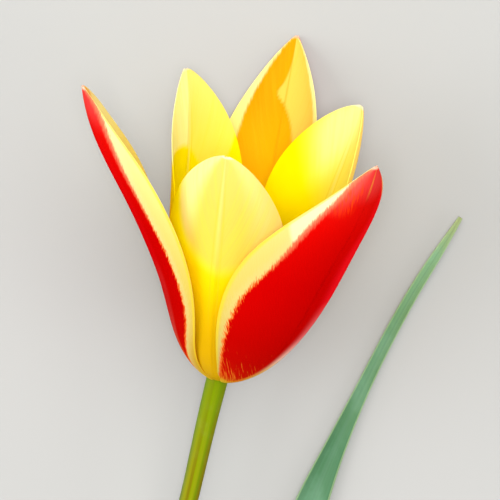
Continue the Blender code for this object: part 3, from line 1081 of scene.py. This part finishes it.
def leaf_skin(name):
    """Grey-green leaf with a waxy bloom, parallel veins, painted shade down its channel and a thin
    pale margin.
    """
    paint = Paint(name)
    aside, t = off_centre(paint)
    veins = paint.streaks(0.5, 60.0)
    bloom = paint.grain(7.0, detail=3.0)
    colour = paint.gradient(t, LEAF_SHADES)
    colour = paint.lay("4c7a58", colour, paint.step(veins, 0.60, 0.36), 0.35)
    colour = paint.lay("7fa68e", colour, paint.step(bloom, 0.4, 0.7), 0.25)
    # Painted shade down the middle of the channel.
    colour = paint.lay("487052", colour, paint.step(aside, 0.30, 0.0), 0.40)
    colour = paint.lay("93a878", colour, paint.step(aside, 0.90, 0.97), 0.5)
    return tissue(paint, colour, paint.bump(veins, 0.06), through=0.08)


def pistil_skin():
    """Smooth green ovary and a velvety yellow stigma."""
    paint = Paint("pistil_skin")
    _, height = paint.place()
    cells = paint.grain(0.25)
    colour = paint.gradient(height, PISTIL_SHADES)
    colour = paint.lay("f4efae", colour, paint.step(cells, 0.45, 0.7), 0.25)
    velvet = paint.times(cells, paint.step(height, 0.86, 0.92))
    return tissue(paint, colour, paint.bump(velvet, 0.12), through=0.08, roughness=0.45)


def filament_skin():
    """Yellow stalk, darker at its foot."""
    paint = Paint("filament_skin")
    fibres = paint.grain(0.3)
    _, height = paint.place()
    colour = paint.gradient(height, FILAMENT_SHADES)
    colour = paint.lay("ffe98a", colour, paint.step(fibres, 0.45, 0.7), 0.3)
    return tissue(paint, colour, paint.bump(fibres, 0.03), through=0.15, roughness=0.45)


def anther_skin():
    """Sacs covered in loose yellow pollen."""
    paint = Paint("anther_skin")
    pollen = paint.grain(0.16)
    colour = paint.gradient(pollen, POLLEN_SHADES)
    colour = paint.lay("b5860c", colour, paint.step(paint.grain(1.4), 0.45, 0.65), 0.4)
    return tissue(paint, colour, paint.bump(pollen, 0.10), through=0.03, roughness=0.80)


def floor_paint():
    """Plain matt grey."""
    paint = Paint("floor")
    inputs = {"Base Color": FLOOR_COLOUR, "Roughness": FLOOR_ROUGHNESS}
    return paint.finish(paint.add("ShaderNodeBsdfPrincipled", inputs).outputs[0])


# Studio ---------------------------------------------------------------------------------


def make_studio():
    """Floor, lamps turned to the flower, and an even sky."""
    half = FLOOR_SIZE / 2
    mesh = bpy.data.meshes.new("floor")
    corners = [(-half, -half, 0.0), (half, -half, 0.0), (half, half, 0.0), (-half, half, 0.0)]
    mesh.from_pydata(corners, [], [(0, 1, 2, 3)])
    mesh.materials.append(floor_paint())
    floor = bpy.data.objects.new("floor", mesh)
    bpy.context.scene.collection.objects.link(floor)
    target = Vector(FLOWER_FOOT) * MM
    for name, place, size, power, colour in LAMPS:
        data = bpy.data.lights.new(name, "AREA")
        data.shape = "DISK"
        data.size, data.energy, data.color = size, power, colour
        lamp = bpy.data.objects.new(name, data)
        lamp.location = place
        lamp.rotation_euler = (target - lamp.location).to_track_quat("-Z", "Y").to_euler()
        bpy.context.scene.collection.objects.link(lamp)
    world = bpy.data.worlds.new("studio")
    world.use_nodes = True
    sky = world.node_tree.nodes["Background"]
    sky.inputs["Color"].default_value = (WORLD_GREY, WORLD_GREY, WORLD_GREY, 1.0)
    bpy.context.scene.world = world
    bpy.context.scene.view_settings.view_transform = "Standard"


def make_camera():
    """Camera over the flower, which lies as the photo shows it."""
    data = bpy.data.cameras.new("camera")
    data.lens, data.sensor_width = CAMERA_LENS, CAMERA_SENSOR
    camera = bpy.data.objects.new("camera", data)
    camera.location = (Vector(FLOWER_FOOT) + Vector(CAMERA_OFFSET)) * MM
    camera.rotation_euler = (math.radians(CAMERA_TILT), 0.0, 0.0)
    bpy.context.scene.collection.objects.link(camera)
    bpy.context.scene.camera = camera


def make_flower():
    """Tepals, pistil and stamens."""
    outer = [red_back(), golden_inside()]
    inner = [yellow_petal("inner_back", YELLOW_BACK), yellow_petal("inner_inside", YELLOW_INSIDE)]
    for name, tepal in TEPALS.items():
        make_tepal(name, tepal, outer if tepal.whorl is OUTER else inner)
    make_pistil(pistil_skin())
    make_stamens(filament_skin(), anther_skin())


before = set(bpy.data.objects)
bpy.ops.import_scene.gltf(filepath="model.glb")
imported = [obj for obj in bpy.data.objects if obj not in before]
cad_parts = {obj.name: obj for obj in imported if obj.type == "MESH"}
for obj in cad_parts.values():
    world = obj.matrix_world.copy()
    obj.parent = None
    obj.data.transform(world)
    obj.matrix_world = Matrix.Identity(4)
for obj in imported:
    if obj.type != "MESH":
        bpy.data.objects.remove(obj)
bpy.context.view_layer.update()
make_camera()
make_studio()
make_flower()
make_stem([stem_skin(), stem_cut()])
make_leaf([leaf_skin("leaf_upper"), leaf_skin("leaf_under")])
